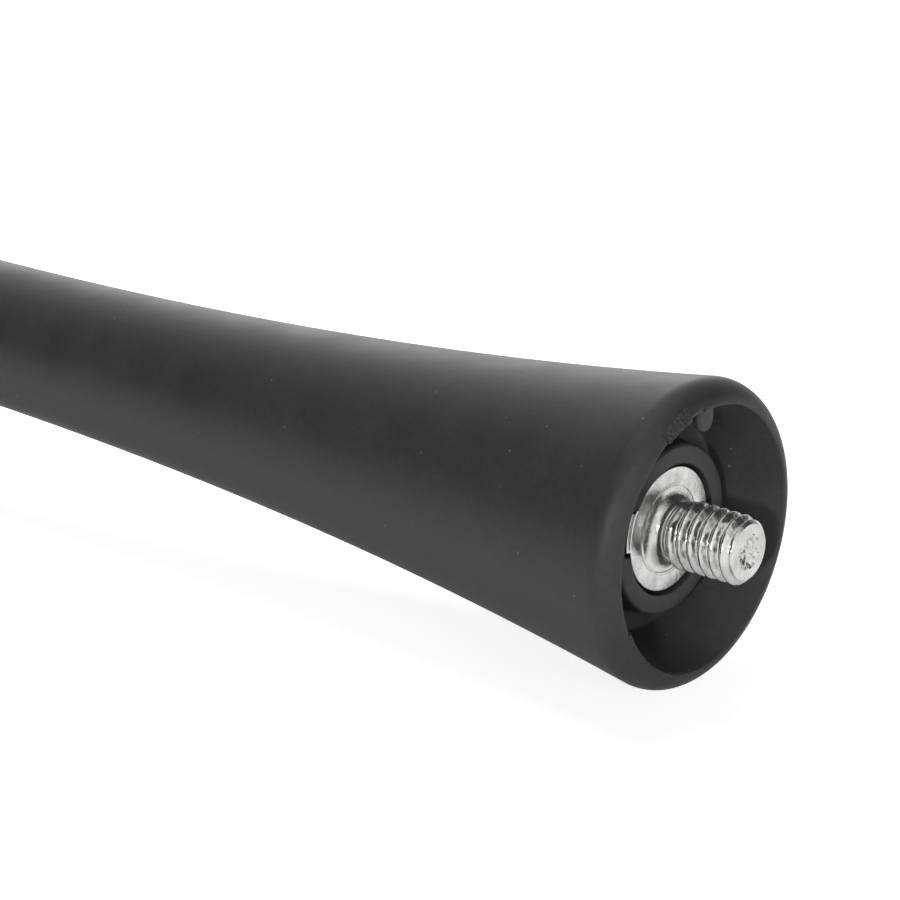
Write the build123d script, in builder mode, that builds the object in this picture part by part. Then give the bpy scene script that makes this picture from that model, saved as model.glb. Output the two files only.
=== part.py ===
from build123d import *
import os
from math import atan, cos, radians, sin, sqrt, tan

# Car mast aerial: a rubber mast with a flared skirt, moulded over a ferrule, a rod and a winding.
# Millimetres. X runs out along the stud, the skirt's lip lies in the plane x = 0, the mast runs to -X.
# Angles about the axis are measured from +Z towards +Y.

# Stud and flange of the ferrule
stud_radius = 2.5  # M5 thread over its crests
stud_proud = 3.65  # how far the stud stands out past the lip
stud_chamfer = 0.45
stud_dish_radius = 1.35  # shallow turned dish in the stud's end
stud_dish_depth = 0.4
neck_radius = 2.1  # thread undercut
neck_length = 1.7
neck_fillet = 0.8  # hollow run-out from neck to flange
flange_radius = 4.6
flange_thickness = 1.1
flange_sink = 3.22  # depth of the flange's face below the lip
lug_width = 2.9  # side lug that keys the ferrule in the rubber
lug_reach = 5.0
lug_angle = -77.0

# Barrel of the ferrule, inside the rubber
barrel_radius = 3.4
barrel_length = 13.0
barrel_chamfer = 0.4
waist_length = 5.0  # waist that the rubber fills
waist_depth = 0.5
waist_offset = 3.0  # from the flange's back

# Rod and winding
rod_radius = 2.0
socket_depth = 9.0
wire_diameter = 0.5
winding_setback = 6.0  # bare end of the rod past the winding
tip_cover = 9.0  # rubber between the rod's end and the tip

# Outside of the rubber sheath
mast_length = 215.0  # lip to tip
rim_radius = 11.44  # widest circle of the skirt
lip_round = 1.84
flare = 0.162  # slope of the skirt where it meets the lip
skirt_length = 74.0
mast_radius = 5.72  # where the skirt runs out into the mast
tip_radius = 4.0

# Cup in the skirt
cup_radius = 9.86  # at the mouth, where it cuts the lip's round
ditch_depth = 5.2  # below the lip
wall_draft = 20.0  # degrees
boss_radius = 6.3
boss_sink = 2.95  # depth of the boss's face below the lip
boss_draft = 2.0  # degrees
boss_edge = 0.3  # bevel round the boss's face
flange_gap = 0.25  # open ring round the flange and beside its lug
lug_pocket = 0.65  # open pocket past the lug's end

# Gate stub and tongue left by the mould at the lip
gate_proud = 0.1  # height of the stub over the rounded lip
gate_spread = 38.0  # degrees of the lip's round, from its crest to the stub's outer edge
gate_start = -12.0  # degrees about the axis
gate_sweep = 17.0  # degrees about the axis, from the start towards -Y
tongue_width = 1.85
tongue_reach = 1.8  # inwards from the edge of the lip
tongue_anchor = 0.4  # outwards into the wall
tongue_sink = 0.25  # below the lip
tongue_thickness = 0.6

# Places along the axis that follow from the sizes above
flange_back = -flange_sink - flange_thickness
barrel_end = flange_back - barrel_length
socket_floor = barrel_end + socket_depth
rod_end = -mast_length + tip_cover
winding_end = rod_end + winding_setback
lip_centre = rim_radius - lip_round

os.makedirs("parts", exist_ok=True)

# Turned ferrule: the stud and barrel are one half section turned about the axis
with BuildPart() as threaded_ferrule:
    with BuildSketch(Plane.XZ):
        with BuildLine():
            Polyline(
                (stud_proud - stud_dish_depth, 0),
                (stud_proud, stud_dish_radius),
                (stud_proud, stud_radius - stud_chamfer),
                (stud_proud - stud_chamfer, stud_radius),
                (neck_length - flange_sink, stud_radius),
                (neck_length - flange_sink - (stud_radius - neck_radius), neck_radius),
                (neck_fillet - flange_sink, neck_radius),
            )
            RadiusArc(
                (neck_fillet - flange_sink, neck_radius),
                (-flange_sink, neck_radius + neck_fillet),
                neck_fillet,
            )
            Polyline(
                (-flange_sink, neck_radius + neck_fillet),
                (flange_back, neck_radius + neck_fillet),
                (flange_back, barrel_radius),
                (barrel_end + barrel_chamfer, barrel_radius),
                (barrel_end, barrel_radius - barrel_chamfer),
                (barrel_end, 0),
                (stud_proud - stud_dish_depth, 0),
            )
        make_face()
    revolve(axis=Axis.X)
    # Flange with its side lug
    with BuildSketch(Plane.YZ.offset(flange_back)):
        Circle(lug_reach)
        Rectangle(
            lug_width,
            lug_reach,
            rotation=-lug_angle,
            align=(Align.CENTER, Align.MIN),
            mode=Mode.INTERSECT,
        )
        Circle(flange_radius)
    extrude(amount=flange_thickness)
    # Waist in the barrel
    with BuildSketch(Plane.XZ):
        with Locations((flange_back - waist_offset - waist_length / 2, barrel_radius)):
            Rectangle(waist_length, 2 * waist_depth)
    revolve(axis=Axis.X, mode=Mode.SUBTRACT)
    # Socket for the rod
    with BuildSketch(Plane.YZ.offset(barrel_end)):
        Circle(rod_radius)
    extrude(amount=socket_depth, mode=Mode.SUBTRACT)
threaded_ferrule.part.label = "threaded_ferrule"
export_step(threaded_ferrule.part, "parts/threaded_ferrule.step")

# Glass fibre rod
with BuildPart() as core_rod:
    with BuildSketch(Plane.YZ.offset(rod_end)):
        Circle(rod_radius)
    extrude(amount=socket_floor - rod_end)
core_rod.part.label = "core_rod"
export_step(core_rod.part, "parts/core_rod.step")

# Wire winding, close wound on the rod from the ferrule's end, as one tube of its outer shape
with BuildPart() as aerial_winding:
    with BuildSketch(Plane.YZ.offset(winding_end)):
        Circle(rod_radius + wire_diameter)
        Circle(rod_radius, mode=Mode.SUBTRACT)
    extrude(amount=barrel_end - winding_end)
aerial_winding.part.label = "aerial_winding"
export_step(aerial_winding.part, "parts/aerial_winding.step")

# Rubber sheath with its flared skirt
with BuildPart() as mast_sheath:
    flare_angle = atan(flare)
    lip_start = (-lip_round * (1 + sin(flare_angle)), lip_centre + lip_round * cos(flare_angle))
    dome_start = (-mast_length + tip_radius, tip_radius)
    skirt_start = (-skirt_length, mast_radius)
    mast_taper = (mast_radius - tip_radius) / (skirt_start[0] - dome_start[0])
    skirt_third = (lip_start[0] - skirt_start[0]) / 3
    with BuildSketch(Plane.XZ):
        with BuildLine():
            RadiusArc((-mast_length, 0), dome_start, tip_radius)
            Line(dome_start, skirt_start)
            Bezier(
                skirt_start,
                (skirt_start[0] + skirt_third, skirt_start[1] + skirt_third * mast_taper),
                (lip_start[0] - skirt_third, lip_start[1] - skirt_third * flare),
                lip_start,
            )
            RadiusArc(lip_start, (0, lip_centre), lip_round)
            Polyline((0, lip_centre), (0, 0), (-mast_length, 0))
        make_face()
    revolve(axis=Axis.X)
    # Cup: drafted wall, ditch and boss
    wall_foot = cup_radius - ditch_depth * tan(radians(wall_draft))
    boss_foot = boss_radius + (ditch_depth - boss_sink) * tan(radians(boss_draft))
    with BuildSketch(Plane.XZ):
        with BuildLine():
            Polyline(
                (0, cup_radius),
                (-ditch_depth, wall_foot),
                (-ditch_depth, boss_foot),
                (-boss_sink - boss_edge, boss_radius),
                (-boss_sink, boss_radius - boss_edge),
                (-boss_sink, 0),
                (0, 0),
                (0, cup_radius),
            )
        make_face()
    revolve(axis=Axis.X, mode=Mode.SUBTRACT)
    # Recess for the flange, with a notch for its lug
    with BuildSketch(Plane.YZ.offset(flange_back)):
        Circle(lug_reach + lug_pocket)
        Rectangle(
            lug_width + 2 * flange_gap,
            lug_reach + lug_pocket,
            rotation=-lug_angle,
            align=(Align.CENTER, Align.MIN),
            mode=Mode.INTERSECT,
        )
        Circle(flange_radius + flange_gap)
    extrude(amount=-flange_back - boss_sink, mode=Mode.SUBTRACT)
    # Stub of the gate, which follows the round of the lip
    gate_turn = radians(gate_start)
    gate_plane = Plane(origin=(0, 0, 0), x_dir=(1, 0, 0), z_dir=(0, -cos(gate_turn), sin(gate_turn)))
    gate_round = lip_round + gate_proud
    gate_inner = (
        sqrt(gate_round**2 - (cup_radius - lip_centre) ** 2) - lip_round,
        cup_radius,
    )
    gate_outer = (
        gate_round * cos(radians(gate_spread)) - lip_round,
        gate_round * sin(radians(gate_spread)) + lip_centre,
    )
    with BuildSketch(gate_plane):
        with BuildLine():
            RadiusArc(gate_outer, gate_inner, gate_round)
            Polyline(gate_inner, (-lip_round, cup_radius), gate_outer)
        make_face()
    revolve(axis=Axis.X, revolution_arc=gate_sweep)
    # Tongue beside the gate, inside the lip
    with BuildSketch(Plane.YZ.offset(-tongue_sink - tongue_thickness)):
        with Locations((0, cup_radius + (tongue_anchor - tongue_reach) / 2)):
            SlotOverall(tongue_reach + tongue_anchor, tongue_width, rotation=90)
    extrude(amount=tongue_thickness)
    # The rubber is moulded round the ferrule, the rod and the winding
    add(threaded_ferrule.part, mode=Mode.SUBTRACT)
    add(core_rod.part, mode=Mode.SUBTRACT)
    add(aerial_winding.part, mode=Mode.SUBTRACT)
mast_sheath.part.label = "mast_sheath"
export_step(mast_sheath.part, "parts/mast_sheath.step")
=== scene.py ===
import math

import bmesh
import bpy
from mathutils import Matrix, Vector


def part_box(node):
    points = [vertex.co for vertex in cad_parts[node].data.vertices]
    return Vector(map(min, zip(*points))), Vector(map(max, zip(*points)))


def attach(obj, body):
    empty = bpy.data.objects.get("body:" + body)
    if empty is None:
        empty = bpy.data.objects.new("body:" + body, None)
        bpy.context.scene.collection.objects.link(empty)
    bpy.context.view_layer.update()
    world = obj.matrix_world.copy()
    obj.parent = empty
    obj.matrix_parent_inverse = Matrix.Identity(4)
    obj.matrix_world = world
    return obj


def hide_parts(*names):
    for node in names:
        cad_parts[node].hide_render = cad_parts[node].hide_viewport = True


bl_info = {
    "name": "Car Mast Aerial",
    "version": (1, 0, 0),
    "blender": (4, 5, 0),
    "location": "View3D > Sidebar > Aerial",
    "description": "Rubber mast, turned stud, core and studio for the packed car mast aerial",
    "category": "Object",
}

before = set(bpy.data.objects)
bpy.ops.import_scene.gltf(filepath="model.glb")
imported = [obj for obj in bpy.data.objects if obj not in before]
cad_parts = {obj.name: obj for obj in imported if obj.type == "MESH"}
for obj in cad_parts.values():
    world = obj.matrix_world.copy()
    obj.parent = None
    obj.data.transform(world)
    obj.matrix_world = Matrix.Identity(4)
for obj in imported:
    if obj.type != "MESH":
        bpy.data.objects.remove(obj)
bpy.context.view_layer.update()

# The mast runs along X: the skirt's lip lies in the plane x = 0 and the stud points to +X.
# Angles about the axis are measured from +Z towards +Y.
MM = 0.001
AXIS = (1, 0, 0)
WELD = 1e-6  # vertices closer than this are one, in metres
ON_PLANE = 1e-7  # a vertex this near a plane lies on it, in metres
FACE_STEP = 0.03 * MM  # keeps the faces of two joined solids apart

# Camera of the photograph, in millimetres
CAMERA_PLACE = (135.04, -193.515, 96.318)
CAMERA_AIM = (-15.924, -9.101, 5.6215)

# White screens seen in reflections: azimuth, elevation and half angle, in degrees
SCREENS = ((225, 10, 65), (0, 90, 42), (75, 22, 50))
SCREEN_CORE = 8  # half angle within which a screen is fully white, in degrees

mast_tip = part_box("mast_sheath")[0].x
barrel_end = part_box("threaded_ferrule")[0].x
stud_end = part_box("threaded_ferrule")[1].x
rod_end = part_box("core_rod")[0].x
winding_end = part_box("aerial_winding")[0].x


def linear(code):
    """Linear colour of an sRGB hex value."""
    parts = [int(code[i : i + 2], 16) / 255 for i in (1, 3, 5)]
    return tuple(c / 12.92 if c <= 0.04045 else ((c + 0.055) / 1.055) ** 2.4 for c in parts)


def length(name, description, size):
    """Property for a length, with its default in millimetres."""
    return bpy.props.FloatProperty(
        name=name, description=description, default=size * MM, min=0.0, precision=5, unit="LENGTH"
    )


def angle(name, description, degrees):
    """Property for an angle, with its default in degrees."""
    return bpy.props.FloatProperty(
        name=name, description=description, default=math.radians(degrees), subtype="ANGLE"
    )


def colour(name, description, code):
    """Property for a colour, with its default as an sRGB hex value."""
    return bpy.props.FloatVectorProperty(
        name=name, description=description, default=linear(code), min=0.0, max=1.0, subtype="COLOR"
    )


def level(name, description, value):
    """Property for a lamp's level; a lamp at 1 alone shows a colour about as it is written."""
    return bpy.props.FloatProperty(name=name, description=description, default=value, min=0.0)


class RubberMastSizes(bpy.types.PropertyGroup):
    """Sizes of the rubber mast"""

    mast_length: length("Length", "Lip to tip", -mast_tip / MM)
    rim_radius: length("Rim radius", "Widest circle of the skirt", 11.44)
    lip_round: length("Lip round", "Radius of the rounded lip", 1.84)
    cup_radius: length("Cup radius", "Cup at its mouth, where it cuts the lip's round", 9.86)
    lip_edge_round: length("Lip edge round", "Radius of the lip's inner edge", 0.2)
    flare: bpy.props.FloatProperty(
        name="Flare", description="Slope of the skirt where it meets the lip", default=0.162
    )
    skirt_length: length("Skirt length", "Lip to the start of the plain mast", 74.0)
    mast_radius: length("Mast radius", "Radius where the skirt runs out", 5.72)
    tip_radius: length("Tip radius", "Radius of the domed tip", 4.0)
    ditch_depth: length("Ditch depth", "Depth of the cup's ditch below the lip", 5.2)
    ditch_fillet: length("Ditch fillet", "Rounding at the foot of the ditch", 0.4)
    wall_draft: angle("Wall draft", "Draft of the cup's wall", 20.0)
    boss_radius: length("Boss radius", "Round boss in the cup", 6.3)
    boss_sink: length("Boss sink", "Depth of the boss's face below the lip", 2.95)
    boss_draft: angle("Boss draft", "Draft of the boss's flank", 2.0)
    boss_edge: length("Boss edge", "Rounding of the boss's edge", 0.3)
    recess_edge: length("Recess edge", "Rounding of the edge round the flange's recess", 0.1)
    flange_gap: length("Flange gap", "Open ring round the flange and beside its lug", 0.25)
    lug_pocket: length("Lug pocket", "Open pocket past the lug's end", 0.65)
    gate_proud: length("Gate height", "Height of the gate's stub over the rounded lip", 0.1)
    gate_spread: angle("Gate spread", "From the lip's crest to the stub's outer edge", 38.0)
    gate_start: angle("Gate start", "Start of the stub round the lip", -12.0)
    gate_sweep: angle("Gate sweep", "Reach of the stub round the lip", 17.0)
    stub_tear: length("Stub tear", "Roughness of the torn stub", 0.07)
    stub_lap: length("Stub lap", "How far the stub hangs over the cup's edge", 0.16)
    tongue_width: length("Tongue width", "Tongue of rubber beside the gate", 1.85)
    tongue_reach: length("Tongue reach", "How far the tongue reaches inwards", 1.8)
    tongue_anchor: length("Tongue anchor", "How deep the tongue is rooted in the wall", 0.4)
    tongue_sink: length("Tongue sink", "Depth of the tongue below the lip", 0.25)
    tongue_thickness: length("Tongue thickness", "Thickness of the tongue", 0.6)
    tongue_edge: length("Tongue edge", "Rounding of the tongue's edge", 0.16)
    burr_start: angle("Burr start", "Start of the ragged burr on the lip's inner edge", -116.0)
    burr_sweep: angle("Burr sweep", "Reach of the burr round the lip", 50.0)
    burr_height: length("Burr height", "Height of the burr", 0.16)
    burr_tear: length("Burr tear", "Raggedness of the burr", 0.07)
    flash_start: angle("Flash start", "Start of the thin flash beside the tongue", 19.0)
    flash_sweep: angle("Flash sweep", "Reach of the flash round the lip", 22.0)
    flash_height: length("Flash height", "Height of the flash", 0.12)
    flash_tear: length("Flash tear", "Unevenness of the flash", 0.02)


class TurnedFerruleSizes(bpy.types.PropertyGroup):
    """Sizes of the turned ferrule"""

    stud_radius: length("Stud radius", "Thread over its crests", 2.5)
    root_radius: length("Root radius", "Bottom of the thread", 2.04)
    thread_pitch: length("Thread pitch", "Distance from crest to crest", 0.9)
    plating_lumps: length("Plating lumps", "Unevenness of the plating on the thread", 0.09)
    plating_grain: length("Plating grain", "Size of the plating's lumps", 0.45)
    thread_phase: length("Thread phase", "Place of a crest on the stud's upper side", 0.025)
    stud_swell: length("Stud swell", "How much the thread grows towards the neck", 0.1)
    stud_proud: length("Stud reach", "How far the stud stands out past the lip", stud_end / MM)
    stud_chamfer: length("Stud chamfer", "Chamfer of the stud's end", 0.45)
    dish_radius: length("Dish radius", "Shallow dish in the stud's end", 1.35)
    dish_depth: length("Dish depth", "Depth of that dish", 0.4)
    dish_tear: length("Dish tear", "Roughness of the dish, where the bar was parted off", 0.6)
    dish_grain: length("Dish grain", "Size of the dish's lumps", 0.6)
    end_land: length("End land", "Flat ring between chamfer and dish", 0.15)
    neck_radius: length("Neck radius", "Undercut between thread and flange", 2.1)
    neck_ridge: length("Neck ridge", "Height of the turned ridges below the thread", 0.11)
    neck_length: length("Neck length", "Flange to the first full thread", 1.7)
    neck_fillet: length("Neck fillet", "Hollow run-out from neck to flange", 0.8)
    flange_radius: length("Flange radius", "Radius of the flange", 4.6)
    flange_edge: length("Flange edge", "Rounding of the flange's edge", 0.09)
    ring_radius: length("Ring radius", "Turned groove in the flange's face", 3.3)
    ring_depth: length("Ring depth", "Depth of that groove", 0.05)
    flange_thickness: length("Flange thickness", "Thickness of the flange", 1.1)
    flange_sink: length("Flange sink", "Depth of the flange's face below the lip", 3.22)
    lug_width: length("Lug width", "Side lug that keys the ferrule in the rubber", 2.9)
    lug_reach: length("Lug reach", "Radius that the lug reaches to", 5.0)
    lug_step: length("Lug step", "How much the lug lies below the flange's face", 0.04)
    lug_edge: length("Lug edge", "Rounding of the lug's edges", 0.07)
    lug_angle: angle("Lug angle", "Place of the lug round the flange", -77.0)
    barrel_radius: length("Barrel radius", "Barrel inside the rubber", 3.4)
    barrel_chamfer: length("Barrel chamfer", "Chamfer of the barrel's end", 0.4)
    waist_length: length("Waist length", "Waist that the rubber fills", 5.0)
    waist_depth: length("Waist depth", "Depth of the waist", 0.5)
    waist_offset: length("Waist offset", "Flange's back to the waist", 3.0)
    socket_depth: length("Socket depth", "Socket for the rod", 9.0)
    rod_radius: length("Rod radius", "Rod in the socket", 2.0)
    winding_radius: length("Winding radius", "Winding over the wire", 2.5)


class AerialFinishes(bpy.types.PropertyGroup):
    """Colours of the materials"""

    rubber: colour("Rubber", "Body of the moulded rubber", "#2b2b2b")
    rubber_dust: colour("Rubber dust", "Specks of dust and talc on the rubber", "#8a8a88")
    rubber_bloom: colour("Rubber bloom", "Paler bloom in the rubber's mottle", "#353535")
    plating: colour("Plating", "Zinc plating on the steel", "#ebebe9")
    plating_shade: colour("Plating shade", "Duller patches of the plating", "#d2d2cf")
    glass_fibre: colour("Glass fibre", "Resin-bound rod", "#cfd0ae")
    glass_fibre_streak: colour("Glass fibre streak", "Fibre bundles in the rod", "#b3b58c")
    copper: colour("Copper", "Enamelled winding wire", "#a4542a")
    # Painted shade: this dark colour in the grooves between the turns stands for the shade in those
    # creases, not for a different enamel
    copper_painted_groove_shade: colour("Copper groove", "Enamel between the turns", "#5e2812")


class StudioSettings(bpy.types.PropertyGroup):
    """Light, floor and camera"""

    key_level: level("Key level", "Small lamp at the near side", 0.4)
    spark_level: level("Spark level", "Lamp beside the key that glosses mirror", 0.18)
    side_level: level("Side level", "Wide lamp at the stud's end", 0.36)
    back_level: level("Back level", "High wide lamp behind the aerial", 0.6)
    rim_level: level("Rim level", "Low lamp behind, mirrored along the mast's top", 0.15)
    floor_lift: level("Floor lift", "Lift of the sweep towards white, for the camera", 0.7)
    gloss_lift: level("Gloss lift", "Lift of the sweep in reflections", 0.13)
    floor: colour("Floor", "White sweep", "#f0f0f0")
    room: colour("Room", "Light that the room gives to matt surfaces", "#404040")
    dim: colour("Dim room", "Room between the white screens, seen in reflections", "#303030")
    lens: bpy.props.FloatProperty(
        name="Lens", description="Focal length", default=144.0, min=1.0, unit="CAMERA"
    )


def settle():
    """Leaves edit mode and deselects everything."""
    if bpy.context.object and bpy.context.object.mode != "OBJECT":
        bpy.ops.object.mode_set(mode="OBJECT")
    bpy.ops.object.select_all(action="DESELECT")


def take(piece):
    """Makes a piece the only selected and active one."""
    settle()
    piece.select_set(True)
    bpy.context.view_layer.objects.active = piece


def name_new(name):
    """Names the piece that was just added."""
    piece = bpy.context.object
    piece.name = name
    piece.data.name = name
    return piece


def choose(piece, test):
    """Selects the vertices whose place passes a test, in edit mode."""
    mesh = bmesh.from_edit_mesh(piece.data)
    mesh.select_mode = {"VERT"}
    for vertex in mesh.verts:
        vertex.select_set(test(vertex.co))
    mesh.select_flush_mode()
    bmesh.update_edit_mesh(piece.data)


def radius(place):
    """Distance of a place from the aerial's axis."""
    return math.hypot(place.y, place.z)


def rounded(corners, radii, steps=6):
    """Half section through the corners, with each inner corner rounded to its radius."""
    points = [Vector(corners[0])]
    for before, corner, after, size in zip(corners, corners[1:], corners[2:], radii):
        corner = Vector(corner)
        towards = (Vector(before) - corner).normalized()
        onwards = (Vector(after) - corner).normalized()
        if size == 0.0:
            points.append(corner)
            continue
        half = towards.angle(onwards) / 2
        centre = corner + (towards + onwards).normalized() * size / math.sin(half)
        start = corner + towards * size / math.tan(half) - centre
        finish = corner + onwards * size / math.tan(half) - centre
        for step in range(steps + 1):
            points.append(centre + start.normalized().slerp(finish.normalized(), step / steps) * size)
    points.append(Vector(corners[-1]))
    return points


def draw_section(name, points):
    """Starts a piece as one vertex and extrudes it through a half section in the XZ plane."""
    settle()
    bpy.ops.mesh.primitive_plane_add(size=MM, enter_editmode=True)
    piece = name_new(name)
    bpy.ops.mesh.merge(type="CENTER")
    bpy.ops.transform.translate(value=(points[0][0], 0, points[0][1]))
    for here, there in zip(points, points[1:]):
        step = (there[0] - here[0], 0, there[1] - here[1])
        bpy.ops.mesh.extrude_vertices_move(TRANSFORM_OT_translate={"value": step})
    bpy.ops.mesh.select_all(action="SELECT")
    return piece


def close_up():
    """Merges the doubles of the piece in edit mode and turns its faces outwards."""
    bpy.ops.mesh.select_all(action="SELECT")
    bpy.ops.mesh.remove_doubles(threshold=WELD)
    bpy.ops.mesh.normals_make_consistent(inside=False)
    bpy.ops.object.mode_set(mode="OBJECT")


def ease_edges(sharpness, size, segments):
    """Bevels the edges that are sharper than an angle in degrees, in edit mode."""
    bpy.ops.mesh.select_all(action="DESELECT")
    bpy.ops.mesh.select_mode(type="EDGE")
    bpy.ops.mesh.edges_select_sharp(sharpness=math.radians(sharpness))
    bpy.ops.mesh.bevel(offset=size, segments=segments, affect="EDGES")
    bpy.ops.mesh.select_mode(type="VERT")


def combine(piece, tool, operation):
    """Unites a tool solid with a piece, or cuts it out of the piece, and removes the tool."""
    take(piece)
    bpy.ops.object.modifier_add(type="BOOLEAN")
    modifier = piece.modifiers[-1]
    modifier.operation = operation
    modifier.object = tool
    modifier.solver = "EXACT"
    bpy.ops.object.modifier_apply(modifier=modifier.name)
    bpy.data.objects.remove(tool)
    if not piece.data.polygons:
        raise RuntimeError(f"{piece.name} was lost in a boolean")


def finish_piece(piece, material, node_name, crease):
    """Shades a piece, gives it its material and puts it in the place of its CAD node."""
    take(piece)
    bpy.ops.object.shade_smooth_by_angle(angle=math.radians(crease))
    piece.data.materials.clear()
    piece.data.materials.append(material)
    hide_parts(node_name)
    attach(piece, "root")


def sector(name, low_x, high_x, reach, width, inner, turn):
    """Block between two planes across the axis, as wide as given, out to a round end at a radius."""
    settle()
    bpy.ops.mesh.primitive_cylinder_add(
        vertices=256,
        radius=reach,
        depth=high_x - low_x,
        location=((low_x + high_x) / 2, 0, 0),
        rotation=(0, math.pi / 2, 0),
    )
    piece = name_new(name)
    bpy.ops.object.transform_apply(location=True, rotation=True, scale=True)
    bpy.ops.object.mode_set(mode="EDIT")
    outwards = Vector((0, math.sin(turn), math.cos(turn)))
    sideways = Vector((0, math.cos(turn), -math.sin(turn)))
    for place, normal in (
        (sideways * width / 2, sideways),
        (-sideways * width / 2, -sideways),
        (outwards * inner, -outwards),
    ):
        bpy.ops.mesh.select_all(action="SELECT")
        bpy.ops.mesh.bisect(
            plane_co=place, plane_no=normal, use_fill=True, clear_outer=True, threshold=ON_PLANE
        )
    close_up()
    return piece


def swept(name, section, start, sweep, steps):
    """Closed section in the XZ plane, carried round the axis towards -Y, with closed ends."""
    piece = draw_section(name, section + section[:1])
    bpy.ops.mesh.remove_doubles(threshold=WELD)
    bpy.ops.mesh.spin(steps=steps, angle=-sweep, center=(0, 0, 0), axis=AXIS)
    bpy.ops.mesh.select_all(action="SELECT")
    bpy.ops.mesh.remove_doubles(threshold=WELD)
    bpy.ops.mesh.select_all(action="DESELECT")
    bpy.ops.mesh.select_non_manifold()
    bpy.ops.mesh.edge_face_add()
    close_up()
    piece.rotation_euler.x = -start
    take(piece)
    bpy.ops.object.transform_apply(location=True, rotation=True, scale=True)
    bpy.ops.object.mode_set(mode="EDIT")
    return piece


def flange_back(ferrule):
    """Place of the flange's back along the axis."""
    return -ferrule.flange_sink - ferrule.flange_thickness


def thread_foot(ferrule):
    """Place along the axis where the thread's lower chamfer meets the neck."""
    return -ferrule.flange_sink + ferrule.neck_length - (ferrule.stud_radius - ferrule.neck_radius)


def barrel_section(ferrule):
    """Half section of the barrel's outside, from its waist to its end."""
    waist_start = flange_back(ferrule) - ferrule.waist_offset
    waist_end = waist_start - ferrule.waist_length
    waist_radius = ferrule.barrel_radius - ferrule.waist_depth
    return [
        (waist_start, ferrule.barrel_radius),
        (waist_start, waist_radius),
        (waist_end, waist_radius),
        (waist_end, ferrule.barrel_radius),
        (barrel_end + ferrule.barrel_chamfer, ferrule.barrel_radius),
        (barrel_end, ferrule.barrel_radius - ferrule.barrel_chamfer),
    ]


def mast_section(mast, ferrule):
    """Half section of the rubber, from the tip along the outside to the lip, and back along the inside."""
    lip_centre = mast.rim_radius - mast.lip_round
    bend = math.atan(mast.flare)
    points = []
    for step in range(17):
        turn = math.radians(90) * step / 16
        points.append(
            (
                -mast.mast_length + mast.tip_radius * (1 - math.cos(turn)),
                mast.tip_radius * math.sin(turn),
            )
        )
    dome_end = Vector((-mast.mast_length + mast.tip_radius, mast.tip_radius))
    skirt_start = Vector((-mast.skirt_length, mast.mast_radius))
    taper = (skirt_start.y - dome_end.y) / (skirt_start.x - dome_end.x)
    for step in range(1, 41):
        points.append(tuple(dome_end.lerp(skirt_start, step / 40)))
    lip_start = Vector(
        (-mast.lip_round * (1 + math.sin(bend)), lip_centre + mast.lip_round * math.cos(bend))
    )
    third = (lip_start.x - skirt_start.x) / 3
    pull = skirt_start + Vector((third, third * taper))
    push = lip_start - Vector((third, third * mast.flare))
    for step in range(1, 61):
        t = step / 60
        points.append(
            tuple(
                skirt_start * (1 - t) ** 3
                + pull * 3 * t * (1 - t) ** 2
                + push * 3 * t * t * (1 - t)
                + lip_start * t**3
            )
        )
    # The lip's round stops short of the cup by the rounding of its inner edge
    first_turn = math.pi / 2 + bend
    edge_turn = math.asin((mast.cup_radius - lip_centre) / mast.lip_round)
    stop_short = 1.3 * mast.lip_edge_round
    last_turn = edge_turn + stop_short / mast.lip_round
    for step in range(1, 21):
        turn = first_turn + (last_turn - first_turn) * step / 20
        points.append(
            (
                mast.lip_round * (math.cos(turn) - 1),
                lip_centre + mast.lip_round * math.sin(turn),
            )
        )
    recess_floor = flange_back(ferrule)
    recess = ferrule.flange_radius + mast.flange_gap
    wall_foot = mast.cup_radius - mast.ditch_depth * math.tan(mast.wall_draft)
    boss_foot = mast.boss_radius + (mast.ditch_depth - mast.boss_sink) * math.tan(mast.boss_draft)
    cup = [
        points[-1],
        (mast.lip_round * (math.cos(edge_turn) - 1), mast.cup_radius),
        (-mast.ditch_depth, wall_foot),
        (-mast.ditch_depth, boss_foot),
        (-mast.boss_sink, mast.boss_radius),
        (-mast.boss_sink, recess),
        (recess_floor, recess),
        (recess_floor, ferrule.barrel_radius),
    ]
    radii = [
        mast.lip_edge_round,
        mast.ditch_fillet,
        mast.ditch_fillet,
        mast.boss_edge,
        mast.recess_edge,
        0.0,
    ]
    points += [tuple(p) for p in rounded(cup, radii)[1:]]
    points += barrel_section(ferrule)
    points += [
        (barrel_end, ferrule.winding_radius),
        (winding_end, ferrule.winding_radius),
        (winding_end, ferrule.rod_radius),
        (rod_end, ferrule.rod_radius),
        (rod_end, 0),
    ]
    return points


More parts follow.
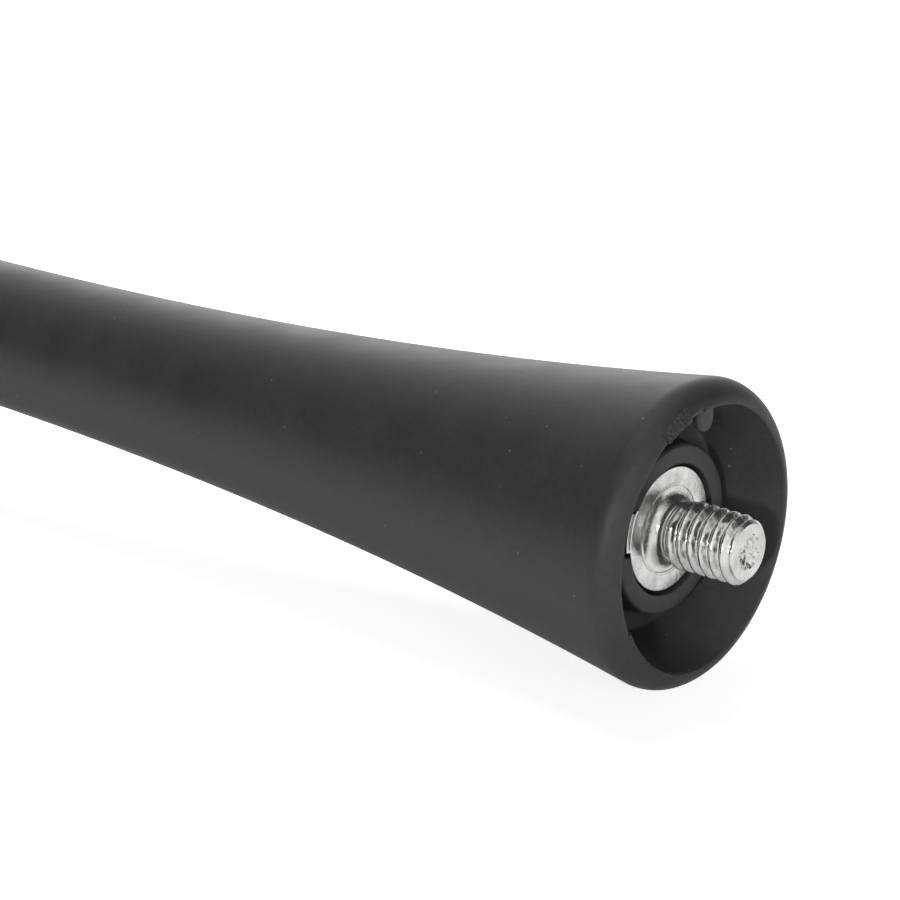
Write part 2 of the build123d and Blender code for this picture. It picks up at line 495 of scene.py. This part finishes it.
class AERIAL_OT_rubber_mast(bpy.types.Operator):
    """Moulds the rubber mast with its flared skirt, cup, gate stub, tongue, burr and flash"""

    bl_idname = "aerial.rubber_mast"
    bl_label = "Rubber Mast"

    def execute(self, context):
        mast = context.scene.aerial_mast
        ferrule = context.scene.aerial_ferrule
        piece = draw_section("rubber_mast", mast_section(mast, ferrule))
        bpy.ops.mesh.spin(steps=192, angle=math.tau, center=(0, 0, 0), axis=AXIS)
        close_up()
        # Notch for the flange's lug, from inside the recess out past the boss's face
        start = 0.6 * MM
        clear = 1.0 * MM
        notch = sector(
            "lug_notch",
            flange_back(ferrule) + FACE_STEP,
            -mast.boss_sink + clear,
            ferrule.lug_reach + mast.lug_pocket,
            ferrule.lug_width + 2 * mast.flange_gap,
            ferrule.barrel_radius + start,
            ferrule.lug_angle,
        )
        combine(piece, notch, "DIFFERENCE")
        combine(piece, self.gate_stub(mast), "UNION")
        combine(piece, self.tongue(mast), "UNION")
        combine(piece, self.burr(mast), "UNION")
        combine(piece, self.flash(mast), "UNION")
        rubber = moulded_rubber(context.scene.aerial_finishes)
        finish_piece(piece, rubber, "mast_sheath", crease=32)
        return {"FINISHED"}

    def gate_stub(self, mast):
        """Torn stub of the gate: a low rough pad that follows the round of the lip."""
        lip_centre = mast.rim_radius - mast.lip_round
        outer = mast.lip_round + mast.gate_proud
        inner_turn = math.asin((mast.cup_radius - lip_centre) / outer)
        section = []
        for step in range(15):
            turn = mast.gate_spread + (inner_turn - mast.gate_spread) * step / 14
            section.append((outer * math.cos(turn) - mast.lip_round, lip_centre + outer * math.sin(turn)))
        section += [
            (section[-1][0] - 0.3 * mast.gate_proud, mast.cup_radius - mast.stub_lap),
            # Root, buried in the lip
            (-0.3 * MM, mast.cup_radius + 0.1 * MM),
            (-0.8 * mast.lip_round, mast.cup_radius + 0.3 * MM),
        ]
        stub = swept("gate_stub", section, mast.gate_start, mast.gate_sweep, steps=40)
        surface = mast.lip_round + 0.5 * mast.gate_proud
        choose(
            stub,
            lambda place: math.hypot(place.x + mast.lip_round, radius(place) - lip_centre) > surface
            and place.x > -mast.lip_round * 0.5,
        )
        bpy.ops.transform.vertex_random(offset=mast.stub_tear, uniform=0.2, normal=1.0, seed=7)
        bpy.ops.mesh.vertices_smooth(factor=0.4)
        close_up()
        return stub

    def tongue(self, mast):
        """Round-ended tongue that hangs from the lip's inner edge."""
        half = mast.tongue_width / 2
        middle = mast.cup_radius - mast.tongue_reach + half
        settle()
        bpy.ops.mesh.primitive_cylinder_add(
            vertices=64,
            radius=half,
            depth=mast.tongue_thickness,
            location=(-mast.tongue_sink - mast.tongue_thickness / 2, 0, middle),
            rotation=(0, math.pi / 2, 0),
        )
        tongue = name_new("tongue")
        bpy.ops.object.transform_apply(location=True, rotation=True, scale=True)
        bpy.ops.object.mode_set(mode="EDIT")
        choose(tongue, lambda place: place.z > middle + WELD)
        bpy.ops.transform.translate(value=(0, 0, mast.tongue_reach + mast.tongue_anchor - 2 * half))
        ease_edges(sharpness=50, size=mast.tongue_edge, segments=4)
        close_up()
        return tongue

    def burr(self, mast):
        """Ragged burr on the lip's inner edge, where the mould halves met badly."""
        height = mast.burr_height
        # The first and last points are the root, buried in the lip
        section = [
            (-0.05 * MM, mast.cup_radius + 0.25 * MM),
            (height * 0.6, mast.cup_radius - height * 0.2),
            (-0.1 * MM, mast.cup_radius - height),
            (-0.5 * MM, mast.cup_radius + 0.1 * MM),
        ]
        burr = swept("burr", section, mast.burr_start, mast.burr_sweep, steps=70)
        choose(burr, lambda place: radius(place) < mast.cup_radius)
        bpy.ops.transform.vertex_random(offset=mast.burr_tear, uniform=0.4, normal=0.0, seed=3)
        close_up()
        return burr

    def flash(self, mast):
        """Thin smooth flash on the lip's inner edge, beside the tongue."""
        height = mast.flash_height
        # The first and last points are the root, buried in the lip
        section = [
            (-0.05 * MM, mast.cup_radius + 0.3 * MM),
            (height * 0.5, mast.cup_radius + 0.04 * MM),
            (height * 0.4, mast.cup_radius - height * 0.4),
            (-0.1 * MM, mast.cup_radius - height * 0.9),
            (-0.5 * MM, mast.cup_radius + 0.1 * MM),
        ]
        flash = swept("flash", section, mast.flash_start, mast.flash_sweep, steps=30)
        choose(flash, lambda place: radius(place) < mast.cup_radius)
        bpy.ops.transform.vertex_random(offset=mast.flash_tear, uniform=0.4, normal=0.0, seed=5)
        close_up()
        return flash


def extend_ring(points):
    """Extrudes the selected ring of edges through the rest of a half section."""
    for here, there in zip(points, points[1:]):
        bpy.ops.mesh.extrude_region_move(TRANSFORM_OT_translate={"value": (there[0] - here[0], 0, 0)})
        scale = max(there[1], ON_PLANE) / here[1]
        bpy.ops.transform.resize(value=(1, scale, scale), center_override=(there[0], 0, 0))


def roughen(piece, grain, height, direction):
    """Moves the selected vertices by soft lumps of a grain size and a height, in edit mode."""
    group = piece.vertex_groups.new(name="rough")
    bpy.ops.object.vertex_group_assign()
    bpy.ops.object.mode_set(mode="OBJECT")
    lumps = bpy.data.textures.new(f"{piece.name}_lumps", "CLOUDS")
    lumps.noise_scale = grain
    lumps.noise_depth = 2
    bpy.ops.object.modifier_add(type="DISPLACE")
    modifier = piece.modifiers[-1]
    modifier.texture = lumps
    modifier.texture_coords = "LOCAL"
    modifier.direction = direction
    modifier.strength = height
    modifier.vertex_group = group.name
    bpy.ops.object.modifier_apply(modifier=modifier.name)
    piece.vertex_groups.clear()
    bpy.ops.object.mode_set(mode="EDIT")


class AERIAL_OT_turned_ferrule(bpy.types.Operator):
    """Turns the ferrule: threaded stud with its dish, neck, flange with a lug, and barrel"""

    bl_idname = "aerial.turned_ferrule"
    bl_label = "Turned Ferrule"

    def execute(self, context):
        ferrule = context.scene.aerial_ferrule
        piece = self.thread(ferrule)
        self.stud_end(piece, ferrule)
        self.flange_and_barrel(piece, ferrule)
        close_up()
        # The lug starts inside the flange
        start = 0.1 * MM
        lug = sector(
            "lug",
            flange_back(ferrule) + FACE_STEP,
            -ferrule.flange_sink - ferrule.lug_step,
            ferrule.lug_reach,
            ferrule.lug_width,
            ferrule.barrel_radius + start,
            ferrule.lug_angle,
        )
        take(lug)
        bpy.ops.object.mode_set(mode="EDIT")
        ease_edges(sharpness=40, size=ferrule.lug_edge, segments=2)
        close_up()
        combine(piece, lug, "UNION")
        steel = turned_plated_steel(context.scene.aerial_finishes)
        finish_piece(piece, steel, "threaded_ferrule", crease=38)
        return {"FINISHED"}

    def thread(self, ferrule):
        """Screw thread: one pitch of the profile, wound up the stud and trimmed at its ends."""
        pitch = ferrule.thread_pitch
        depth = ferrule.stud_radius - ferrule.root_radius
        low = thread_foot(ferrule)
        turns = math.ceil((ferrule.stud_proud - low) / pitch) + 3
        start = ferrule.thread_phase + pitch * math.floor((low - ferrule.thread_phase) / pitch - 1)
        section = []
        for step in range(19):
            from_crest = abs(step / 9 - 1)
            rise = 0.5 + 0.5 * math.cos(math.pi * from_crest)
            section.append((start + pitch * (step / 18 - 0.5), ferrule.root_radius + depth * rise))
        piece = draw_section("turned_ferrule", section)
        bpy.ops.object.mode_set(mode="OBJECT")
        bpy.ops.object.modifier_add(type="SCREW")
        screw = piece.modifiers[-1]
        screw.axis = "X"
        screw.screw_offset = pitch
        screw.iterations = turns
        screw.steps = 128
        screw.render_steps = 128
        bpy.ops.object.modifier_apply(modifier=screw.name)
        bpy.ops.object.mode_set(mode="EDIT")
        bpy.ops.mesh.select_all(action="SELECT")
        bpy.ops.mesh.remove_doubles(threshold=WELD)
        roughen(piece, ferrule.plating_grain, ferrule.plating_lumps, "NORMAL")
        for place, side in ((ferrule.stud_proud, 1), (low, -1)):
            bpy.ops.mesh.select_all(action="SELECT")
            bpy.ops.mesh.bisect(
                plane_co=(place, 0, 0), plane_no=(side, 0, 0), clear_outer=True, threshold=ON_PLANE
            )
        bpy.ops.object.mode_set(mode="OBJECT")
        # The thread swells towards the neck; the chamfers at its ends shave crests and close roots
        for vertex in piece.data.vertices:
            from_end = ferrule.stud_proud - vertex.co.x
            from_neck = vertex.co.x - low
            swell = ferrule.stud_swell * from_end / (ferrule.stud_proud - low)
            size = radius(vertex.co) + swell
            most = min(
                ferrule.stud_radius + swell,
                ferrule.stud_radius - ferrule.stud_chamfer + from_end,
                ferrule.neck_radius + from_neck,
            )
            least = max(
                ferrule.stud_radius - ferrule.stud_chamfer - from_end * 0.5,
                ferrule.neck_radius - from_neck * 0.5,
            )
            scale = max(min(size, most), least) / radius(vertex.co)
            vertex.co.y *= scale
            vertex.co.z *= scale
        bpy.ops.object.mode_set(mode="EDIT")
        return piece

    def stud_end(self, piece, ferrule):
        """End face with its shallow dish, torn where the bar was parted off."""
        end = ferrule.stud_proud
        face = ferrule.stud_radius - ferrule.stud_chamfer
        choose(piece, lambda place: abs(place.x - end) < ON_PLANE)
        # The rings shrink by this share and then meet in a point
        shrink = 0.97
        section = [(end, face), (end, face - ferrule.end_land)]
        for step in range(13):
            t = step / 12
            depth = ferrule.dish_depth * math.sin(t * math.pi / 2) ** 2
            section.append((end - depth, ferrule.dish_radius * (1 - shrink * t)))
        section.append((end - ferrule.dish_depth, 0))
        extend_ring(section)
        bpy.ops.mesh.merge(type="CENTER")
        # The tear leaves out the dish's outermost ring
        low = end - 2 * ferrule.dish_depth
        edge = 0.97 * ferrule.dish_radius
        choose(piece, lambda place: place.x > low and radius(place) < edge)
        roughen(piece, ferrule.dish_grain, ferrule.dish_tear, "X")

    def flange_and_barrel(self, piece, ferrule):
        """Neck, hollow run-out, flange and barrel with its socket, from the thread's lower end."""
        low = thread_foot(ferrule)
        face = -ferrule.flange_sink
        back = flange_back(ferrule)
        neck = ferrule.neck_radius
        fillet = ferrule.neck_fillet
        choose(piece, lambda place: abs(place.x - low) < ON_PLANE)
        section = [(low, neck)]
        # Two round ridges, each 0.14 mm wide
        for ridge in (low - 0.14 * MM, low - 0.4 * MM):
            for shift, rise in ((0.07, 0.0), (0.03, 0.75), (0.0, 1.0), (-0.03, 0.75), (-0.07, 0.0)):
                section.append((ridge + shift * MM, neck + rise * ferrule.neck_ridge))
        # The run-out reaches further over the flange than up the neck
        reach = 1.25 * fillet
        for step in range(13):
            turn = math.radians(90) * step / 12
            section.append((face + fillet * (1 - math.sin(turn)), neck + reach * (1 - math.cos(turn))))
        ring = ferrule.ring_radius
        for shift, sink in ((-0.12, 0.0), (-0.05, 1.0), (0.02, 1.0), (0.09, 0.0)):
            section.append((face - sink * ferrule.ring_depth, ring + shift * MM))
        section += [
            tuple(p)
            for p in rounded(
                [
                    (face, ring + 0.2 * MM),
                    (face, ferrule.flange_radius),
                    (back, ferrule.flange_radius),
                    (back, ferrule.barrel_radius),
                ],
                [ferrule.flange_edge, ferrule.flange_edge],
                steps=3,
            )
        ]
        section += barrel_section(ferrule)
        section += [
            (barrel_end, ferrule.rod_radius),
            (barrel_end + ferrule.socket_depth, ferrule.rod_radius),
            (barrel_end + ferrule.socket_depth, 0),
        ]
        extend_ring(section)
        bpy.ops.mesh.merge(type="CENTER")


class AERIAL_OT_core(bpy.types.Operator):
    """Gives the rod and the winding inside the rubber their materials"""

    bl_idname = "aerial.core"
    bl_label = "Core"

    def execute(self, context):
        finishes = context.scene.aerial_finishes
        for name, material in (
            ("core_rod", pultruded_glass_fibre(finishes)),
            ("aerial_winding", enamelled_copper_wire(finishes)),
        ):
            node_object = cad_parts[name]
            if not node_object.material_slots:
                raise RuntimeError(f"{name} has no material slot")
            for place in node_object.material_slots:
                place.material = material
        return {"FINISHED"}


def add_node(tree, kind, inputs=None, **settings):
    """Adds a node with its settings, and sets or links its inputs."""
    made = tree.nodes.new(kind)
    for name, value in settings.items():
        setattr(made, name, value)
    for name, value in (inputs or {}).items():
        if isinstance(value, bpy.types.NodeSocket):
            tree.links.new(value, made.inputs[name])
        else:
            made.inputs[name].default_value = value
    return made


def new_material(name):
    """Material with an empty node tree."""
    material = bpy.data.materials.new(name)
    material.use_nodes = True
    material.node_tree.nodes.clear()
    return material, material.node_tree


def opaque(linear_colour):
    """Linear colour with full alpha."""
    return (*linear_colour, 1.0)


def object_place(tree):
    """Socket with the place on the object, in metres."""
    return add_node(tree, "ShaderNodeTexCoord").outputs["Object"]


def reckon(tree, operation, first, second=0.0):
    """Socket with the result of a sum."""
    return add_node(tree, "ShaderNodeMath", {0: first, 1: second}, operation=operation).outputs[0]


def noise(tree, place, grain, detail, roughness=0.5):
    """Socket with a soft noise whose largest lumps are as big as the grain."""
    inputs = {"Vector": place, "Scale": 1 / grain, "Detail": detail, "Roughness": roughness}
    return add_node(tree, "ShaderNodeTexNoise", inputs).outputs["Fac"]


def spread_out(tree, value, low, high, at_low, at_high):
    """Socket with a value between low and high carried over to another range."""
    inputs = {"Value": value, "From Min": low, "From Max": high, "To Min": at_low, "To Max": at_high}
    return add_node(tree, "ShaderNodeMapRange", inputs).outputs["Result"]


def two_tone(tree, value, low, low_colour, high, high_colour):
    """Socket with one colour up to a low value and another from a high value on."""
    ramp = add_node(tree, "ShaderNodeValToRGB", {"Fac": value})
    for stop, position, shade in zip(ramp.color_ramp.elements, (low, high), (low_colour, high_colour)):
        stop.position = position
        stop.color = opaque(shade)
    return ramp.outputs["Color"]


def relief(tree, height, strength, distance, **more):
    """Socket with the normal of a fine relief."""
    inputs = {"Height": height, "Strength": strength, "Distance": distance, **more}
    return add_node(tree, "ShaderNodeBump", inputs).outputs["Normal"]


def surface(tree, **inputs):
    """Gives a material's surface its colour, gloss and relief; an underscore stands for a space."""
    named = {name.replace("_", " "): value for name, value in inputs.items()}
    shader = add_node(tree, "ShaderNodeBsdfPrincipled", named)
    add_node(tree, "ShaderNodeOutputMaterial", {"Surface": shader.outputs["BSDF"]})


def moulded_rubber(finishes):
    """EPDM rubber from an eroded mould: near black and satin, with fine grain, pale bloom and dust."""
    material, tree = new_material("moulded_epdm_rubber")
    place = object_place(tree)
    # Bloom comes in soft patches of a few millimetres, grain in specks of half a millimetre
    bloom = noise(tree, place, 4.0 * MM, 5.0, 0.6)
    grain = noise(tree, place, 0.45 * MM, 3.0, 0.65)
    tone = reckon(tree, "MULTIPLY", grain, bloom)
    mottle = two_tone(tree, tone, 0.12, finishes.rubber, 0.48, finishes.rubber_bloom)
    # Dust lies some millimetres apart, in specks of a tenth of a millimetre
    dust = add_node(tree, "ShaderNodeTexVoronoi", {"Vector": place, "Scale": 1 / (2.4 * MM)})
    speck = spread_out(tree, dust.outputs["Distance"], 0.02, 0.06, 0.3, 0.0)
    dusty = add_node(
        tree,
        "ShaderNodeMix",
        {"Factor": speck, 6: mottle, 7: opaque(finishes.rubber_dust)},
        data_type="RGBA",
    )
    surface(
        tree,
        Base_Color=dusty.outputs[2],
        Roughness=spread_out(tree, bloom, 0.3, 0.7, 0.42, 0.5),
        IOR=1.45,
        Normal=relief(tree, grain, 0.35, 0.03 * MM),
    )
    return material


def turned_plated_steel(finishes):
    """Steel turned on a lathe and zinc plated: bright, with fine tool rings and a lumpy plating."""
    material, tree = new_material("turned_zinc_plated_steel")
    place = object_place(tree)
    lumps = noise(tree, place, 0.5 * MM, 4.0, 0.6)
    dull = noise(tree, place, 1.2 * MM, 3.0)
    # Tool marks follow the radius on faces and the axis on cylinders; drawn at 0.16 mm so that they show
    tool_feed = 0.16 * MM
    across = add_node(tree, "ShaderNodeVectorMath", {0: place, 1: (0.0, 1.0, 1.0)}, operation="MULTIPLY")
    reach = add_node(tree, "ShaderNodeVectorMath", {0: across.outputs[0]}, operation="LENGTH")
    along = add_node(tree, "ShaderNodeSeparateXYZ", {"Vector": place})
    path = reckon(tree, "ADD", reach.outputs["Value"], along.outputs["X"])
    rings = reckon(tree, "SINE", reckon(tree, "MULTIPLY", path, math.tau / tool_feed))
    ringed = relief(tree, rings, 0.3, 0.004 * MM)
    surface(
        tree,
        Base_Color=two_tone(tree, dull, 0.35, finishes.plating_shade, 0.6, finishes.plating),
        Metallic=1.0,
        Roughness=spread_out(tree, dull, 0.3, 0.7, 0.3, 0.18),
        Normal=relief(tree, lumps, 0.5, 0.06 * MM, Normal=ringed),
    )
    return material


def pultruded_glass_fibre(finishes):
    """Glass fibre drawn through a die with resin: pale and waxy, with long streaks along the rod."""
    material, tree = new_material("pultruded_glass_fibre")
    # Fibre bundles are about 0.2 mm across and run on for centimetres
    bundle_length, bundle_width = 25 * MM, 0.2 * MM
    drawn = add_node(
        tree,
        "ShaderNodeMapping",
        {"Vector": object_place(tree), "Scale": (1 / bundle_length, 1 / bundle_width, 1 / bundle_width)},
    )
    streaks = noise(tree, drawn.outputs["Vector"], 1.0, 3.0)
    surface(
        tree,
        Base_Color=two_tone(tree, streaks, 0.35, finishes.glass_fibre_streak, 0.65, finishes.glass_fibre),
        Roughness=0.4,
        IOR=1.54,
        Normal=relief(tree, streaks, 0.2, 0.02 * MM),
    )
    return material


def enamelled_copper_wire(finishes):
    """Enamelled copper wire, close wound: red-brown and glossy, with painted shade in the groove between
    the turns.
    """
    material, tree = new_material("enamelled_copper_wire")
    # One turn for each 0.5 mm of wire
    wire = 0.5 * MM
    along = add_node(tree, "ShaderNodeSeparateXYZ", {"Vector": object_place(tree)})
    turns = reckon(tree, "SINE", reckon(tree, "MULTIPLY", along.outputs["X"], math.tau / wire))
    height = spread_out(tree, turns, -1.0, 1.0, 0.0, 1.0)
    surface(
        tree,
        # Painted shade: the groove colour darkens the low part of each turn's relief
        Base_Color=two_tone(tree, height, 0.05, finishes.copper_painted_groove_shade, 0.4, finishes.copper),
        Metallic=1.0,
        Roughness=0.3,
        Normal=relief(tree, height, 0.8, 0.1 * MM),
    )
    return material


def seamless_paper(studio):
    """White paper sweep: matt, with fibre flecks that hardly show, lifted to white for the eye."""
    material, tree = new_material("matt_white_paper")
    # Fibre flecks of about a millimetre
    flecks = noise(tree, object_place(tree), 1.0 * MM, 2.0)
    paper = add_node(
        tree,
        "ShaderNodeBsdfPrincipled",
        {
            "Base Color": opaque(studio.floor),
            "Roughness": 0.95,
            "Specular IOR Level": 0.0,
            "Normal": relief(tree, flecks, 0.05, 0.02 * MM),
        },
    ).outputs[0]
    camera_ray, reflected_ray = ray_kinds(tree)
    shown = paper
    for ray, strength in ((reflected_ray, studio.gloss_lift), (camera_ray, studio.floor_lift)):
        lift = add_node(tree, "ShaderNodeEmission", {"Color": (1, 1, 1, 1), "Strength": strength})
        lifted = add_node(tree, "ShaderNodeAddShader", {0: paper, 1: lift.outputs[0]})
        shown = add_node(tree, "ShaderNodeMixShader", {0: ray, 1: shown, 2: lifted.outputs[0]}).outputs[0]
    add_node(tree, "ShaderNodeOutputMaterial", {"Surface": shown})
    return material


def ray_kinds(tree):
    """Two sockets: 1 for rays from the camera, and 1 for rays off a gloss or through glass."""
    path = add_node(tree, "ShaderNodeLightPath").outputs
    reflected = reckon(tree, "MAXIMUM", path["Is Glossy Ray"], path["Is Transmission Ray"])
    return path["Is Camera Ray"], reflected


def towards(azimuth, elevation):
    """Unit vector to an azimuth, counted from -Y towards +X, and an elevation, in degrees."""
    a, e = math.radians(azimuth), math.radians(elevation)
    return Vector((math.sin(a) * math.cos(e), -math.cos(a) * math.cos(e), math.sin(e)))


def softbox(name, azimuth, elevation, spread, strength, mirrored):
    """Distant lamp from an azimuth and an elevation, as wide as its spread, all in degrees."""
    settle()
    away = towards(azimuth, elevation)
    bpy.ops.object.light_add(type="SUN", location=away * 0.5)
    lamp = bpy.context.object
    lamp.name = name
    lamp.rotation_euler = (-away).to_track_quat("-Z", "Y").to_euler()
    lamp.data.angle = math.radians(spread)
    lamp.data.energy = math.pi * strength
    lamp.visible_glossy = mirrored


class AERIAL_OT_studio(bpy.types.Operator):
    """Sets up the white sweep, the softboxes, the dim room and the camera"""

    bl_idname = "aerial.studio"
    bl_label = "Studio"

    def execute(self, context):
        scene = context.scene
        studio = scene.aerial_studio
        mast = scene.aerial_mast
        self.sweep(studio, mast)
        for name, azimuth, elevation, spread, strength, mirrored in (
            ("key_lamp", 27, 17, 4, studio.key_level, False),
            ("spark_lamp", 27, 17, 4, studio.spark_level, True),
            ("side_lamp", 60, 15, 40, studio.side_level, False),
            ("back_lamp", 240, 60, 40, studio.back_level, False),
            ("rim_lamp", 225, 10, 40, studio.rim_level, True),
        ):
            softbox(name, azimuth, elevation, spread, strength, mirrored)
        self.room(scene, studio)
        bpy.ops.object.camera_add(location=Vector(CAMERA_PLACE) * MM)
        camera = context.object
        camera.name = "photo_camera"
        aim = Vector(CAMERA_AIM) * MM
        camera.rotation_euler = (aim - camera.location).to_track_quat("-Z", "Y").to_euler()
        camera.data.lens = studio.lens
        camera.data.sensor_width = 36.0
        camera.data.clip_start = 1 * MM
        scene.camera = camera
        scene.view_settings.view_transform = "Standard"
        return {"FINISHED"}

    def sweep(self, studio, mast):
        """Floor that the lip and the tip both rest on."""
        slope = math.atan((mast.rim_radius - mast.tip_radius) / (mast.mast_length - mast.tip_radius))
        settle()
        bpy.ops.mesh.primitive_plane_add(
            size=40.0, location=(0, 0, -mast.rim_radius), rotation=(0, -slope, 0)
        )
        floor = name_new("paper_sweep")
        bpy.ops.object.transform_apply(location=True, rotation=True, scale=True)
        floor.data.materials.append(seamless_paper(studio))

    def room(self, scene, studio):
        """White to the camera; in reflections white screens behind, above and at the right."""
        world = bpy.data.worlds.new("studio_room")
        world.use_nodes = True
        tree = world.node_tree
        tree.nodes.clear()
        direction = add_node(tree, "ShaderNodeTexCoord").outputs["Generated"]
        camera_ray, reflected_ray = ray_kinds(tree)
        bright = camera_ray
        for azimuth, elevation, spread in SCREENS:
            facing = add_node(
                tree,
                "ShaderNodeVectorMath",
                {0: direction, 1: towards(azimuth, elevation)},
                operation="DOT_PRODUCT",
            )
            screen = add_node(
                tree,
                "ShaderNodeMapRange",
                {
                    "Value": facing.outputs["Value"],
                    "From Min": math.cos(math.radians(spread)),
                    "From Max": math.cos(math.radians(SCREEN_CORE)),
                },
                interpolation_type="SMOOTHSTEP",
            )
            bright = reckon(tree, "MAXIMUM", bright, screen.outputs["Result"])
        matt = add_node(tree, "ShaderNodeBackground", {"Color": opaque(studio.room), "Strength": 1.0})
        dim = add_node(tree, "ShaderNodeBackground", {"Color": opaque(studio.dim), "Strength": 1.0})
        white = add_node(tree, "ShaderNodeBackground", {"Color": (1, 1, 1, 1), "Strength": 1.0})
        shown = add_node(tree, "ShaderNodeMixShader", {0: bright, 1: dim.outputs[0], 2: white.outputs[0]})
        seen = reckon(tree, "MAXIMUM", camera_ray, reflected_ray)
        mix = add_node(tree, "ShaderNodeMixShader", {0: seen, 1: matt.outputs[0], 2: shown.outputs[0]})
        add_node(tree, "ShaderNodeOutputWorld", {"Surface": mix.outputs[0]})
        scene.world = world


class AERIAL_PT_panel(bpy.types.Panel):
    """Sizes, colours and steps of the aerial"""

    bl_idname = "AERIAL_PT_panel"
    bl_label = "Car Mast Aerial"
    bl_space_type = "VIEW_3D"
    bl_region_type = "UI"
    bl_category = "Aerial"

    def draw(self, context):
        for heading, group, step in (
            ("Rubber mast", context.scene.aerial_mast, "aerial.rubber_mast"),
            ("Turned ferrule", context.scene.aerial_ferrule, "aerial.turned_ferrule"),
            ("Finishes", context.scene.aerial_finishes, "aerial.core"),
            ("Studio", context.scene.aerial_studio, "aerial.studio"),
        ):
            column = self.layout.box().column()
            column.label(text=heading)
            for name in group.bl_rna.properties.keys():
                if name not in {"rna_type", "name"}:
                    column.prop(group, name)
            column.operator(step)


classes = (
    RubberMastSizes,
    TurnedFerruleSizes,
    AerialFinishes,
    StudioSettings,
    AERIAL_OT_rubber_mast,
    AERIAL_OT_turned_ferrule,
    AERIAL_OT_core,
    AERIAL_OT_studio,
    AERIAL_PT_panel,
)


def register():
    """Registers the classes and hangs the settings on the scene."""
    for item in classes:
        bpy.utils.register_class(item)
    bpy.types.Scene.aerial_mast = bpy.props.PointerProperty(type=RubberMastSizes)
    bpy.types.Scene.aerial_ferrule = bpy.props.PointerProperty(type=TurnedFerruleSizes)
    bpy.types.Scene.aerial_finishes = bpy.props.PointerProperty(type=AerialFinishes)
    bpy.types.Scene.aerial_studio = bpy.props.PointerProperty(type=StudioSettings)


def unregister():
    """Takes the settings off the scene and unregisters the classes."""
    del bpy.types.Scene.aerial_studio
    del bpy.types.Scene.aerial_finishes
    del bpy.types.Scene.aerial_ferrule
    del bpy.types.Scene.aerial_mast
    for item in reversed(classes):
        bpy.utils.unregister_class(item)


def main():
    register()
    bpy.ops.aerial.rubber_mast()
    bpy.ops.aerial.turned_ferrule()
    bpy.ops.aerial.core()
    bpy.ops.aerial.studio()


if __name__ == "__main__":
    main()
